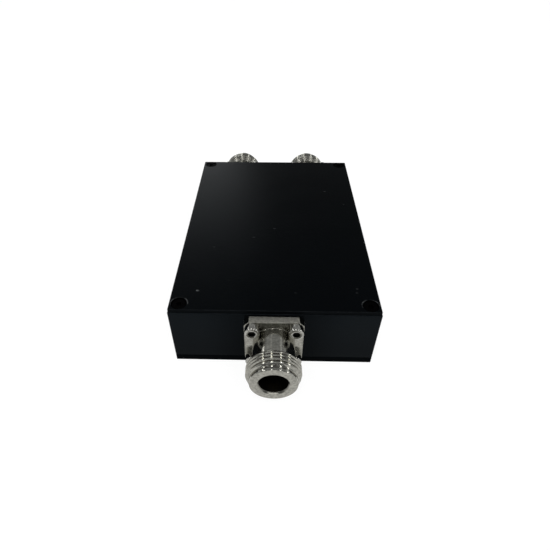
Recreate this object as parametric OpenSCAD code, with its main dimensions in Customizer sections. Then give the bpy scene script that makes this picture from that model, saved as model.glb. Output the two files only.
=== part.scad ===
// Two-way RF power splitter: a flat milled box with one coaxial socket in front and two at the rear.
// Millimetres. Origin at the middle of the underside, +Z up, the input socket faces -Y.

/* [Housing] */
// Width of the housing, side to side
housing_w = 62; // [58:0.5:90]
// Length of the housing between its two connector faces
housing_l = 91.5; // [84:0.5:130]
// Height of the milled body, between the base plate and the cover
body_h = 19.2; // [18.6:0.1:26]
// Thickness of the two walls that carry the connectors
end_wall = 7; // [6.5:0.1:9]
// Thickness of the two plain side walls
side_wall = 5; // [3:0.1:7]
// Radius that the milling cutter leaves in the corners of the cavities
cutter_r = 3; // [1.5:0.1:5]
// Thickness of the web that carries the circuit board
web_t = 3; // [2.2:0.1:4]
// Small break on the outer edges of the body and the plates
edge_break = 0.2; // [0.05:0.05:0.4]

/* [Cover and base plate] */
// Thickness of the cover
cover_t = 1.2; // [1.1:0.1:3]
// How far the cover stands in from the body's sides
cover_inset = 0.2; // [0.05:0.05:0.6]
// Thickness of the base plate
base_t = 2.4; // [1.2:0.1:4]
// Distance of the corner screws from the side faces
corner_side = 3.2; // [3:0.1:5]
// Distance of the corner screws from the connector faces
corner_end = 2.8; // [2.7:0.1:4]

/* [Countersunk screws] */
// Radius of the countersunk screws' thread
csk_r = 1.25; // [1:0.05:1.5]
// Radius of the countersunk head
csk_head_r = 2; // [1.8:0.05:2.2]
// How deep the countersunk heads lie below the surface
csk_sink = 0.25; // [0.1:0.05:0.3]
// Whole length of the countersunk screws
csk_l = 8; // [6:0.5:9]
// Width across the flats of the countersunk screws' socket
csk_hex = 1.5; // [1.2:0.1:1.7]
// Depth of the countersunk screws' socket
csk_hex_depth = 0.6; // [0.4:0.05:0.7]

/* [Connector flange] */
// Side of the square flange
flange_w = 17.5; // [17:0.1:18.5]
// Thickness of the flange
flange_t = 2.4; // [1.8:0.1:4]
// Crop of the flange's four corners, measured along its sides
flange_crop = 1.5; // [0.5:0.1:1.6]
// Distance between the flange screws, both ways
flange_pitch = 12.7; // [12.5:0.1:12.8]
// Distance of the two rear connectors from the middle
output_x = 15; // [12:0.5:18]

/* [Connector barrel] */
// Diameter of the plain neck behind the thread
neck_d = 12.6; // [9.6:0.1:12.8]
// Radius of the fillet between the flange and the neck
neck_fillet = 0.3; // [0.1:0.05:0.4]
// Outer diameter of the coupling thread
thread_d = 15.88; // [15.5:0.01:16.2]
// Length of the coupling thread at its full diameter
thread_l = 2.8; // [2:0.1:5.5]
// Bevel at the rear edge of the thread
thread_bevel = 0.25; // [0.1:0.05:0.5]
// Length of the thread's tapered start, between the full thread and the nose
taper_l = 1.9; // [0.4:0.1:2.4]
// How far the taper's small end stands proud of the nose
taper_step = 0.2; // [0.1:0.1:0.4]
// Diameter of the plain nose in front of the thread
nose_d = 13.6; // [12.4:0.1:14]
// Length of the plain nose
nose_l = 1; // [0.8:0.1:2.5]
// Bevel at the nose's front edge
nose_bevel = 0.15; // [0.1:0.05:0.6]
// Height of the nose's front face above the face that the flange sits on
reach = 17.3; // [16.6:0.1:21]

/* [Connector bore] */
// Diameter of the bore that takes the mating connector
socket_d = 8.13; // [8.03:0.01:8.4]
// Depth of that bore
socket_depth = 9.1; // [8.8:0.1:10]
// Bevel at the mouth of the bore
socket_bevel = 0.5; // [0.1:0.05:0.6]
// Inner diameter of the coaxial line behind the bore
line_d = 7; // [6.6:0.1:7.4]

/* [Insulator and contact] */
// Diameter of the insulator
bead_d = 8; // [7.6:0.1:8.4]
// Height of the insulator's front end above the face that the flange sits on
bead_front = 5.5; // [4:0.1:6]
// Diameter of the contact inside the insulator
stem_d = 2.4; // [2:0.1:2.7]
// Diameter of the contact's sprung front
contact_d = 3.04; // [2.9:0.01:3.2]
// How far the contact's tip lies behind the nose's front face
tip_depth = 5; // [4.6:0.1:5.5]
// Diameter of the hole in the contact's tip
contact_bore_d = 1.66; // [1.6:0.01:1.8]
// Depth of the hole in the contact's tip
contact_bore_depth = 5; // [4:0.1:5.5]
// Width of the contact's cross slots
slot_w = 0.3; // [0.2:0.05:0.4]
// Depth of the contact's cross slots
slot_depth = 4; // [3:0.1:4.5]
// How far the contact's shoulder lies behind the insulator's front end
shoulder_depth = 3; // [2:0.1:4]
// Diameter of the contact's solder tail
tail_d = 1.27; // [1:0.01:1.6]
// Length of the solder tail inside the housing
tail_l = 3.5; // [2.5:0.1:5]

/* [Flange screws] */
// Radius of the flange screws' thread
cap_r = 1.25; // [1:0.05:1.3]
// Radius of the flange screws' round head
cap_head_r = 2.2; // [1.9:0.05:2.25]
// Height of the flange screws' head
cap_head_h = 2.5; // [2:0.1:3]
// Bevel on the rim of the flange screws' head
cap_bevel = 0.3; // [0.1:0.05:0.4]
// Length of the flange screws under the head
cap_l = 7.5; // [6:0.1:8]
// Width across the flats of the flange screws' socket
cap_hex = 2; // [1.5:0.1:2.5]
// Depth of the flange screws' socket
cap_hex_depth = 1.3; // [0.8:0.1:1.6]

/* [Circuit board] */
// Thickness of the circuit board
board_t = 1.5; // [0.8:0.1:1.6]
// Gap between the board and the cavity's walls
board_gap = 0.3; // [0.1:0.05:0.6]
// Thickness of the copper pattern
trace_t = 0.1; // [0.05:0.05:0.2]
// Width of the input and output lines
line_w = 2.8; // [2:0.1:3.4]
// Widths of the three pairs of arms, from the input on
arm_w = [1.1, 1.5, 1.9]; // [0.8:0.1:2.2]
// Distance of the arms from the middle, where they run apart
arm_x = 6; // [5:0.1:8]
// Distance of the arms from the middle, where a resistor joins them
joint_x = 1.9; // [1.7:0.05:2.1]
// Gap between the copper and the board's edge
copper_margin = 0.4; // [0.2:0.1:1]
// Length of the input line
input_l = 11; // [8:0.5:14]
// Length of each pair of arms along the board
section_l = 16; // [14:0.5:18]
// Length that the output lines run straight to the rear edge
output_l = 8; // [6:0.5:9]

/* [Parts on the board] */
// Length of a resistor with its ends
resistor_l = 3.2; // [3:0.1:3.6]
// Width of a resistor
resistor_w = 1.6; // [1.2:0.1:2]
// Height of a resistor
resistor_h = 0.6; // [0.4:0.05:0.8]
// Length of each plated end of a resistor
resistor_end = 0.5; // [0.3:0.05:0.7]
// Thickness of the solder under each contact tail
solder_under = 0.1; // [0.05:0.05:0.2]
// Width of each solder joint where it meets the trace
solder_w = 2.2; // [1.8:0.1:2.6]
// Length of each solder joint along the tail
solder_l = 2.4; // [1.5:0.1:2.5]
// Thickness of the solder at its upper edge, beside the tail
solder_lip = 0.15; // [0.05:0.05:0.3]
// Radius of the board screws' thread
board_screw_r = 1.25; // [1:0.05:1.5]
// Radius of the board screws' head
board_head_r = 2.25; // [2:0.05:2.6]
// Height of the board screws' head
board_head_h = 1.6; // [1.2:0.1:2]
// Length of the board screws under the head
board_screw_l = 4; // [3.2:0.1:4.2]
// Distance of the board screws from the middle, across the board
board_screw_x = 21.5; // [20:0.5:22]
// Distance between the rows of board screws, along the board
board_screw_pitch = 30; // [26:0.5:33]

/* [Clearances] */
// Radial gap around screws in threaded holes, and around pieces pushed into a bore
fit_gap = 0.05; // [0.02:0.01:0.1]
// Radial gap around screws in plain holes
hole_gap = 0.2; // [0.1:0.05:0.25]

/* [Hidden] */
$fn = 64;

// Overlap that lets a cut run clear of the face it starts from
over = 1;

// Heights
body_top = base_t + body_h;
axis_z = base_t + body_h / 2;
trace_top = axis_z - tail_d / 2 - solder_under;
board_top = trace_top - trace_t;
web_top = board_top - board_t;
web_bottom = web_top - web_t;

// Plan of the housing
face_y = housing_l / 2;
cavity_w = housing_w - 2 * side_wall;
cavity_l = housing_l - 2 * end_wall;
cavity_y = cavity_l / 2;
corner_x = housing_w / 2 - corner_side;
corner_y = face_y - corner_end;

// Heights along a connector's own axis, counted outwards from the housing's face
nose_z = reach - nose_l;
taper_z = nose_z - taper_l;
thread_z = taper_z - thread_l;
socket_z = reach - socket_depth;
tip_z = reach - tip_depth;
shoulder_z = bead_front - shoulder_depth;

// Plan of the copper pattern
board_w = cavity_w - 2 * board_gap;
board_l = cavity_l - 2 * board_gap;
copper_end = board_l / 2 - copper_margin;
split_y = -copper_end + input_l;
joints_y = [for (i = [1 : len(arm_w)]) split_y + i * section_l];
last_joint = joints_y[len(joints_y) - 1];
run_y = copper_end - output_l;
board_screw_rows = [-1, 0, 1];

// Drive recess of a socket screw: the circle through the corners of a hexagon of the given width
function hex_r(flats) = flats / 2 / cos(30);

// Shared shapes

// A box on the XY plane whose twelve edges are all broken by the same small bevel
module broken_box(w, l, h, bevel) {
    intersection() {
        linear_extrude(h)
            bevelled_square(w, l, bevel);
        translate([0, l / 2, h / 2])
            rotate([90, 0, 0])
                linear_extrude(l)
                    bevelled_square(w, h, bevel);
        translate([-w / 2, 0, h / 2])
            rotate([90, 0, 90])
                linear_extrude(w)
                    bevelled_square(l, h, bevel);
    }
}

// A centred rectangle with its corners cut off at 45 degrees
module bevelled_square(a, b, bevel) {
    x = a / 2;
    y = b / 2;
    polygon([
        [bevel - x, -y], [x - bevel, -y], [x, bevel - y], [x, y - bevel],
        [x - bevel, y], [bevel - x, y], [-x, y - bevel], [-x, bevel - y]
    ]);
}

// A centred rectangle with round corners
module round_square(a, b, r) {
    square([a - 2 * r, b], center = true);
    square([a, b - 2 * r], center = true);
    for (x = [-1, 1], y = [-1, 1])
        translate([x * (a / 2 - r), y * (b / 2 - r)])
            circle(r);
}

// Places a child at the four corner screws
module at_corners() {
    for (x = [-1, 1], y = [-1, 1])
        translate([x * corner_x, y * corner_y, 0])
            children();
}

// Places a connector, drawn with its axis along +Z and its seat at z = 0, on the front or rear face
module on_front() {
    translate([0, -face_y, axis_z])
        rotate([90, 0, 0])
            children();
}

module on_rear(side) {
    translate([side * output_x, face_y, axis_z])
        rotate([90, 0, 180])
            children();
}

// Places a child at all three connectors
module at_connectors() {
    on_front()
        children();
    for (side = [-1, 1])
        on_rear(side)
            children();
}

// Places a child at the four screws of one flange
module at_flange_screws() {
    for (x = [-1, 1], y = [-1, 1])
        translate([x * flange_pitch / 2, y * flange_pitch / 2, 0])
            children();
}

// Places a child at the board screws, on the board's upper face
module at_board_screws() {
    for (x = [-1, 1], row = board_screw_rows)
        translate([x * board_screw_x, row * board_screw_pitch, board_top])
            children();
}

// A countersunk screw that points down, with the surface it is sunk in at z = 0
module countersunk_screw() {
    difference() {
        union() {
            translate([0, 0, -csk_sink - csk_head_r + csk_r])
                cylinder(h = csk_head_r - csk_r, r1 = csk_r, r2 = csk_head_r);
            translate([0, 0, -csk_sink - csk_l])
                cylinder(h = csk_l - csk_head_r + csk_r, r = csk_r);
        }
        translate([0, 0, -csk_sink - csk_hex_depth])
            cylinder(h = csk_hex_depth + over, r = hex_r(csk_hex), $fn = 6);
    }
}

// The countersunk hole for that screw through a plate of the given thickness
module countersunk_hole(thickness) {
    mouth_r = csk_head_r + csk_sink + fit_gap;
    hole_r = csk_r + hole_gap;
    translate([0, 0, -thickness - over])
        cylinder(h = thickness + 2 * over, r = hole_r);
    translate([0, 0, hole_r - mouth_r])
        cylinder(h = mouth_r - hole_r, r1 = hole_r, r2 = mouth_r);
    cylinder(h = over, r = mouth_r);
}

// Housing

// The block is milled from above for the circuit and from below to save weight, which leaves a web
module body() {
    color([0.06, 0.06, 0.065])
        difference() {
            translate([0, 0, base_t])
                broken_box(housing_w, housing_l, body_h, edge_break);
            translate([0, 0, web_top])
                linear_extrude(body_top - web_top + over)
                    round_square(cavity_w, cavity_l, cutter_r);
            translate([0, 0, base_t - over])
                linear_extrude(web_bottom - base_t + over)
                    round_square(cavity_w, cavity_l, cutter_r);
            at_corners() {
                cover_hole_l = csk_sink + csk_l - cover_t + over;
                base_hole_l = csk_sink + csk_l - base_t + over;
                translate([0, 0, body_top - cover_hole_l])
                    cylinder(h = cover_hole_l + over, r = csk_r + fit_gap);
                translate([0, 0, base_t - over])
                    cylinder(h = base_hole_l + over, r = csk_r + fit_gap);
            }
            at_connectors() {
                translate([0, 0, -end_wall - over])
                    cylinder(h = end_wall + 2 * over, r = bead_d / 2 + fit_gap);
                at_flange_screws()
                    translate([0, 0, flange_t - cap_l - fit_gap])
                        cylinder(h = cap_l, r = cap_r + fit_gap);
            }
            at_board_screws()
                translate([0, 0, -board_t - web_t - over])
                    cylinder(h = board_t + web_t + 2 * over, r = board_screw_r + fit_gap);
        }
}

module top_cover() {
    color([0.05, 0.05, 0.055])
        difference() {
            translate([0, 0, body_top])
                broken_box(housing_w - 2 * cover_inset, housing_l - 2 * cover_inset, cover_t, edge_break);
            at_corners()
                translate([0, 0, body_top + cover_t])
                    countersunk_hole(cover_t);
        }
}

module base_plate() {
    color([0.06, 0.06, 0.065])
        difference() {
            broken_box(housing_w, housing_l, base_t, edge_break);
            at_corners()
                mirror([0, 0, 1])
                    countersunk_hole(base_t);
        }
}

module cover_screws() {
    color([0.03, 0.03, 0.03])
        at_corners()
            translate([0, 0, body_top + cover_t])
                countersunk_screw();
}

module base_screws() {
    color([0.03, 0.03, 0.03])
        at_corners()
            mirror([0, 0, 1])
                countersunk_screw();
}

// Connectors

// Outside of the turned barrel, as radius and height, from the flange's face to the nose
function barrel_outline() = concat(
    [[0, flange_t], [neck_d / 2 + neck_fillet, flange_t]],
    [for (a = [15 : 15 : 90]) [
        neck_d / 2 + neck_fillet * (1 - sin(a)),
        flange_t + neck_fillet * (1 - cos(a))
    ]],
    [
        [neck_d / 2, thread_z],
        [thread_d / 2 - thread_bevel, thread_z],
        [thread_d / 2, thread_z + thread_bevel],
        [thread_d / 2, taper_z],
        [nose_d / 2 + taper_step, nose_z],
        [nose_d / 2, nose_z],
        [nose_d / 2, reach - nose_bevel],
        [nose_d / 2 - nose_bevel, reach],
        [0, reach]
    ]
);

// Hollow of the barrel: a seat for the insulator, the coaxial line and the socket with its mouth
function hollow_outline() = [
    [0, -over],
    [bead_d / 2 + fit_gap, -over],
    [bead_d / 2 + fit_gap, bead_front],
    [line_d / 2, bead_front],
    [line_d / 2, socket_z],
    [socket_d / 2, socket_z],
    [socket_d / 2, reach - socket_bevel],
    [socket_d / 2 + socket_bevel + over, reach + over],
    [0, reach + over]
];

// Flange and barrel are one turned and milled piece
module shell() {
    color([0.72, 0.71, 0.68])
        difference() {
            union() {
                linear_extrude(flange_t)
                    bevelled_square(flange_w, flange_w, flange_crop);
                rotate_extrude()
                    polygon(barrel_outline());
            }
            rotate_extrude()
                polygon(hollow_outline());
            at_flange_screws()
                translate([0, 0, -over])
                    cylinder(h = flange_t + 2 * over, r = cap_r + hole_gap);
        }
}

// The bead runs through the wall and stops against the step inside the shell
module insulator() {
    color([0.93, 0.93, 0.9])
        difference() {
            translate([0, 0, -end_wall])
                cylinder(h = end_wall + bead_front, r = bead_d / 2);
            translate([0, 0, -end_wall - over])
                cylinder(h = end_wall + bead_front + 2 * over, r = stem_d / 2 + fit_gap);
            translate([0, 0, shoulder_z])
                cylinder(h = bead_front, r = contact_d / 2 + fit_gap);
        }
}

// A turned contact: sprung tip with crossed slots, shoulder in the bead, thin solder tail
module contact() {
    color([0.83, 0.65, 0.3])
        difference() {
            union() {
                translate([0, 0, shoulder_z])
                    cylinder(h = tip_z - shoulder_z, r = contact_d / 2);
                translate([0, 0, -end_wall])
                    cylinder(h = end_wall + shoulder_z, r = stem_d / 2);
                translate([0, 0, -end_wall - tail_l])
                    cylinder(h = tail_l, r = tail_d / 2);
            }
            translate([0, 0, tip_z - contact_bore_depth])
                cylinder(h = contact_bore_depth + over, r = contact_bore_d / 2);
            for (turn = [0, 90])
                rotate([0, 0, turn])
                    translate([-contact_d, -slot_w / 2, tip_z - slot_depth])
                        cube([2 * contact_d, slot_w, slot_depth + over]);
        }
}

// Socket-head screws, seated on the flange
module flange_screws() {
    color([0.75, 0.75, 0.74])
        at_flange_screws()
            translate([0, 0, flange_t])
                difference() {
                    union() {
                        cylinder(h = cap_head_h - cap_bevel, r = cap_head_r);
                        translate([0, 0, cap_head_h - cap_bevel])
                            cylinder(h = cap_bevel, r1 = cap_head_r, r2 = cap_head_r - cap_bevel);
                        translate([0, 0, -cap_l])
                            cylinder(h = cap_l, r = cap_r);
                    }
                    translate([0, 0, cap_head_h - cap_hex_depth])
                        cylinder(h = cap_hex_depth + over, r = hex_r(cap_hex), $fn = 6);
                }
}

module input_shell() {
    on_front()
        shell();
}

module input_insulator() {
    on_front()
        insulator();
}

module input_contact() {
    on_front()
        contact();
}

module input_flange_screws() {
    on_front()
        flange_screws();
}

module output_left_shell() {
    on_rear(-1)
        shell();
}

module output_left_insulator() {
    on_rear(-1)
        insulator();
}

module output_left_contact() {
    on_rear(-1)
        contact();
}

module output_left_flange_screws() {
    on_rear(-1)
        flange_screws();
}

module output_right_shell() {
    on_rear(1)
        shell();
}

module output_right_insulator() {
    on_rear(1)
        insulator();
}

module output_right_contact() {
    on_rear(1)
        contact();
}

module output_right_flange_screws() {
    on_rear(1)
        flange_screws();
}

// Circuit

module circuit_board() {
    color([0.2, 0.42, 0.26])
        difference() {
            translate([0, 0, web_top])
                linear_extrude(board_t)
                    round_square(board_w, board_l, cutter_r);
            at_board_screws()
                translate([0, 0, -board_t - over])
                    cylinder(h = board_t + 2 * over, r = board_screw_r + hole_gap);
        }
}

// A straight strip of copper with round ends between two points
module strip(from, to, w) {
    run = to - from;
    translate(from) {
        rotate(atan2(run.y, run.x))
            translate([0, -w / 2])
                square([norm(run), w]);
        circle(w / 2);
    }
    translate(to)
        circle(w / 2);
}

// A chain of strips through a list of points
module path(points, w) {
    for (i = [1 : len(points) - 1])
        strip(points[i - 1], points[i], w);
}

// One half of the pattern: the arms bow out between the resistors, then a line leads to one output
module half_pattern(side) {
    slope = arm_x - joint_x;
    for (i = [0 : len(arm_w) - 1]) {
        start = split_y + i * section_l;
        stop = start + section_l;
        start_x = i == 0 ? 0 : joint_x;
        path([
            [side * start_x, start],
            [side * arm_x, start + slope],
            [side * arm_x, stop - slope],
            [side * joint_x, stop]
        ], arm_w[i]);
    }
    path([
        [side * joint_x, last_joint],
        [side * output_x, run_y],
        [side * output_x, copper_end - line_w / 2]
    ], line_w);
}

module copper_trace() {
    color([0.78, 0.5, 0.28])
        translate([0, 0, board_top])
            linear_extrude(trace_t) {
                strip([0, -copper_end + line_w / 2], [0, split_y], line_w);
                for (side = [-1, 1])
                    half_pattern(side);
            }
}

// Places a child on the trace at each resistor
module at_resistors() {
    for (y = joints_y)
        translate([0, y, trace_top])
            children();
}

module resistor_chips() {
    core_l = resistor_l - 2 * resistor_end;
    color([0.1, 0.1, 0.11])
        at_resistors()
            translate([-core_l / 2, -resistor_w / 2, 0])
                cube([core_l, resistor_w, resistor_h]);
}

module resistor_ends() {
    color([0.75, 0.75, 0.74])
        at_resistors()
            for (side = [0, 1])
                mirror([side, 0, 0])
                    translate([resistor_l / 2 - resistor_end, -resistor_w / 2, 0])
                        cube([resistor_end, resistor_w, resistor_h]);
}

// Solder wets the trace under the tail and climbs to half its height
module solder_joints() {
    cut_r = tail_d / 2 + fit_gap / 2;
    lip_x = cut_r + solder_lip;
    rise = solder_under + tail_d / 2;
    color([0.7, 0.7, 0.7])
        at_connectors()
            difference() {
                translate([0, 0, -end_wall - tail_l])
                    linear_extrude(solder_l)
                        polygon([
                            [-solder_w / 2, -rise], [solder_w / 2, -rise],
                            [lip_x, 0], [-lip_x, 0]
                        ]);
                translate([0, 0, -end_wall - tail_l - over])
                    cylinder(h = tail_l + over, r = cut_r);
            }
}

module board_screws() {
    color([0.75, 0.75, 0.74])
        at_board_screws()
            difference() {
                union() {
                    cylinder(h = board_head_h, r = board_head_r);
                    translate([0, 0, -board_screw_l])
                        cylinder(h = board_screw_l, r = board_screw_r);
                }
                translate([0, 0, board_head_h / 2])
                    cylinder(h = board_head_h, r = hex_r(csk_hex), $fn = 6);
            }
}

body();
top_cover();
base_plate();
cover_screws();
base_screws();
input_shell();
input_insulator();
input_contact();
input_flange_screws();
output_left_shell();
output_left_insulator();
output_left_contact();
output_left_flange_screws();
output_right_shell();
output_right_insulator();
output_right_contact();
output_right_flange_screws();
circuit_board();
copper_trace();
resistor_chips();
resistor_ends();
solder_joints();
board_screws();
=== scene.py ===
"""Looks of a two-way radio-frequency power splitter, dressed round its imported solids.

The housing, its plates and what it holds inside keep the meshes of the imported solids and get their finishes
here. The three connectors and their cap screws are new surfaces, with a real coupling thread and rounded
edges. Lengths are metres in Blender; sizes are written in millimetres as a number times MM.
"""

import logging
import math
from dataclasses import dataclass, replace
from enum import Enum
from typing import Any

import bmesh
import bpy
import numpy as np
from mathutils import Matrix, Vector


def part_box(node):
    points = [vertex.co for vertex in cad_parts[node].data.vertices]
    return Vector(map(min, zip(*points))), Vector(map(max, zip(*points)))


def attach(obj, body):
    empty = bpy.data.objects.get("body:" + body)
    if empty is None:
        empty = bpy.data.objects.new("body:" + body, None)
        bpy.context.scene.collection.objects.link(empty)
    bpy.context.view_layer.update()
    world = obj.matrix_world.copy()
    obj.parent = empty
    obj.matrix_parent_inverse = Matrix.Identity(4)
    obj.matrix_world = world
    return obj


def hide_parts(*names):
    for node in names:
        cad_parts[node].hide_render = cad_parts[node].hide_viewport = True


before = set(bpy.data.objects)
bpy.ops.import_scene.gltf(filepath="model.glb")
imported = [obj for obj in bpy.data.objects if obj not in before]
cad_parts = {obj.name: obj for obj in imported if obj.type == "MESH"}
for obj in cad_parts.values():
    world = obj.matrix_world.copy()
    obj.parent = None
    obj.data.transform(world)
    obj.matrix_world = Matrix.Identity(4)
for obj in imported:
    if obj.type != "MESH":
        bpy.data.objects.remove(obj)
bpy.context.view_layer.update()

MM = 0.001
BODY = "root"
IMAGE_SIDE_PX = 550
MERGE_DISTANCE = 0.0005 * MM
SMOOTH_ANGLE = math.radians(35)
# Just under a half, so that the roundings at both ends of a side never meet
MOST_OF_A_SIDE = 0.49
# Most values of a random field lie between these two
FIELD = (0.3, 0.7)

log = logging.getLogger("splitter")

Pair = tuple[float, float]
Triple = tuple[float, float, float]
Colour = tuple[float, float, float]
Socket = bpy.types.NodeSocket


class Facing(Enum):
    """The way a connector points out of the housing, as the sign of its axis along Y."""

    FRONT = -1
    REAR = 1


class Port(Enum):
    """The three connectors, with the first part of their nodes' names and the face that they sit on."""

    INPUT = ("input", Facing.FRONT)
    OUTPUT_LEFT = ("output_left", Facing.REAR)
    OUTPUT_RIGHT = ("output_right", Facing.REAR)

    @property
    def prefix(self) -> str:
        """First part of the names of this connector's nodes."""
        return self.value[0]

    @property
    def facing(self) -> Facing:
        """The housing face that this connector sits on."""
        return self.value[1]


# Surfaces


class Trait(Enum):
    """What a finish reads at each point of a new surface: 0 is none, 1 is full and more is stronger still."""

    SATIN = "satin"
    # Darkens a finish in hollows as painted shade
    RECESS = "recess"


@dataclass(frozen=True)
class Surface:
    """A patch of four-sided faces.

    Attributes:
        points: Corner points, an (n, 3) array.
        faces: Point numbers of each face, an (m, 4) array.
        traits: Amount of each trait at each point, an (n, 2) array in the order of Trait.
    """

    points: np.ndarray
    faces: np.ndarray
    traits: np.ndarray

    @classmethod
    def over(
        cls, grid: np.ndarray, wrap: bool = True, flip: bool = False,
        satin: float | np.ndarray = 0.0, recess: float | np.ndarray = 0.0,
    ) -> "Surface":
        """Covers a grid of points with faces, one between each two rows and two columns.

        Args:
            grid: Points as a (rows, columns, 3) array.
            wrap: Whether the last column joins the first one.
            flip: Whether the faces turn the other way round.
            satin: How satin the points are, one value or an array that spreads over the grid.
            recess: How deep the points lie in a dark recess, which paints shade on them, given in the same
                way.

        Returns:
            The patch, whose faces run along the rows first unless it is flipped.
        """
        rows, columns = grid.shape[:2]
        numbers = np.arange(rows * columns).reshape(rows, columns)
        nexts = np.roll(numbers, -1, axis=1)
        if not wrap:
            numbers, nexts = numbers[:, :-1], nexts[:, :-1]
        corners = [numbers[:-1], numbers[1:], nexts[1:], nexts[:-1]]
        faces = np.stack(corners[::-1] if flip else corners, axis=-1)
        traits = np.stack([np.broadcast_to(trait, (rows, columns)) for trait in (satin, recess)], axis=-1)
        return cls(grid.reshape(-1, 3), faces.reshape(-1, 4), traits.reshape(-1, len(Trait)))

    def __add__(self, other: "Surface") -> "Surface":
        """Joins two patches, with the other one's points counted on.

        Args:
            other: The patch to add.

        Returns:
            Both as one patch.
        """
        points = np.concatenate([self.points, other.points])
        faces = np.concatenate([self.faces, other.faces + len(self.points)])
        return Surface(points, faces, np.concatenate([self.traits, other.traits]))

    def moved(self, offset: np.ndarray) -> "Surface":
        """The same patch, shifted by an offset."""
        return replace(self, points=self.points + offset)

    def mirrored(self, signs: tuple[int, int]) -> "Surface":
        """The patch mirrored in X and Y by two signs, with its faces turned as before along Z."""
        faces = self.faces if signs[0] * signs[1] > 0 else self.faces[:, ::-1]
        return replace(self, points=self.points * np.array([*signs, 1]), faces=faces)


def rounded_outline(corners: np.ndarray, radii: np.ndarray, steps: int = 4) -> np.ndarray:
    """Rounds the corners of an open outline.

    Each inner corner is swapped for a short curve between two points at its rounding's length along both
    sides: (1 - s)^2 of the first point, 2 s (1 - s) of the corner and s^2 of the second. No rounding takes
    more than half a side.

    Args:
        corners: Outline points, an (n, 2) array.
        radii: Length of the rounding at each corner, n values; the two ends are kept.
        steps: Number of pieces in each curve.

    Returns:
        The rounded outline, an (m, 2) array.
    """
    sides = np.diff(corners, axis=0)
    lengths = np.linalg.norm(sides, axis=1, keepdims=True)
    ways = sides / lengths
    reach = np.minimum(radii[1:-1, None], MOST_OF_A_SIDE * np.minimum(lengths[:-1], lengths[1:]))
    middle = corners[1:-1]
    first = middle - reach * ways[:-1]
    second = middle + reach * ways[1:]
    s = np.linspace(0, 1, steps + 1)[None, :, None]
    curves = (1 - s) ** 2 * first[:, None] + 2 * s * (1 - s) * middle[:, None] + s**2 * second[:, None]
    return np.concatenate([corners[:1], curves.reshape(-1, 2), corners[-1:]])


def circle_angles(count: int) -> np.ndarray:
    """Evenly spread angles of a full turn, without the last one that would repeat the first."""
    return np.arange(count) * (2 * math.pi / count)


def turned(
    radius: np.ndarray, height: np.ndarray, recess: np.ndarray, satin: float | np.ndarray = 0.0,
) -> Surface:
    """A turned surface round the Z axis.

    At each angle, X is the radius times its cosine, Y is the radius times its sine and Z is the row's height.

    Args:
        radius: Radius for each row and angle, a (rows, columns) array.
        height: Height of each row, a (rows,) array.
        recess: How deep each row lies in a dark recess, which paints shade on it, a (rows,) array.
        satin: How satin the points are, one value or an array that spreads over the grid.

    Returns:
        The patch, which faces away from the axis where the rows climb.
    """
    angle = circle_angles(radius.shape[1])
    z = np.broadcast_to(height[:, None], radius.shape)
    grid = np.stack([radius * np.cos(angle), radius * np.sin(angle), z], axis=-1)
    return Surface.over(grid, flip=True, satin=satin, recess=recess[:, None])


def make_piece(name: str, surface: Surface) -> bpy.types.Object:
    """Turns a surface into a mesh object with merged seams and smooth shading.

    Args:
        name: Name of the piece.
        surface: Its faces in the row frame.

    Returns:
        The linked object, at the origin.
    """
    mesh = bpy.data.meshes.new(name)
    mesh.from_pydata(surface.points.tolist(), [], surface.faces.tolist())
    for trait, amounts in zip(Trait, surface.traits.T):
        attribute = mesh.attributes.new(trait.value, "FLOAT", "POINT")
        attribute.data.foreach_set("value", amounts.astype(np.float32))
    work = bmesh.new()
    work.from_mesh(mesh)
    bmesh.ops.remove_doubles(work, verts=work.verts, dist=MERGE_DISTANCE)
    bmesh.ops.recalc_face_normals(work, faces=work.faces)
    work.to_mesh(mesh)
    work.free()
    mesh.shade_smooth()
    mesh.set_sharp_from_angle(angle=SMOOTH_ANGLE)
    piece = bpy.data.objects.new(name, mesh)
    bpy.context.scene.collection.objects.link(piece)
    weighted = piece.modifiers.new("flat faces stay flat", "WEIGHTED_NORMAL")
    weighted.keep_sharp = True
    return piece


# Finishes


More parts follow.
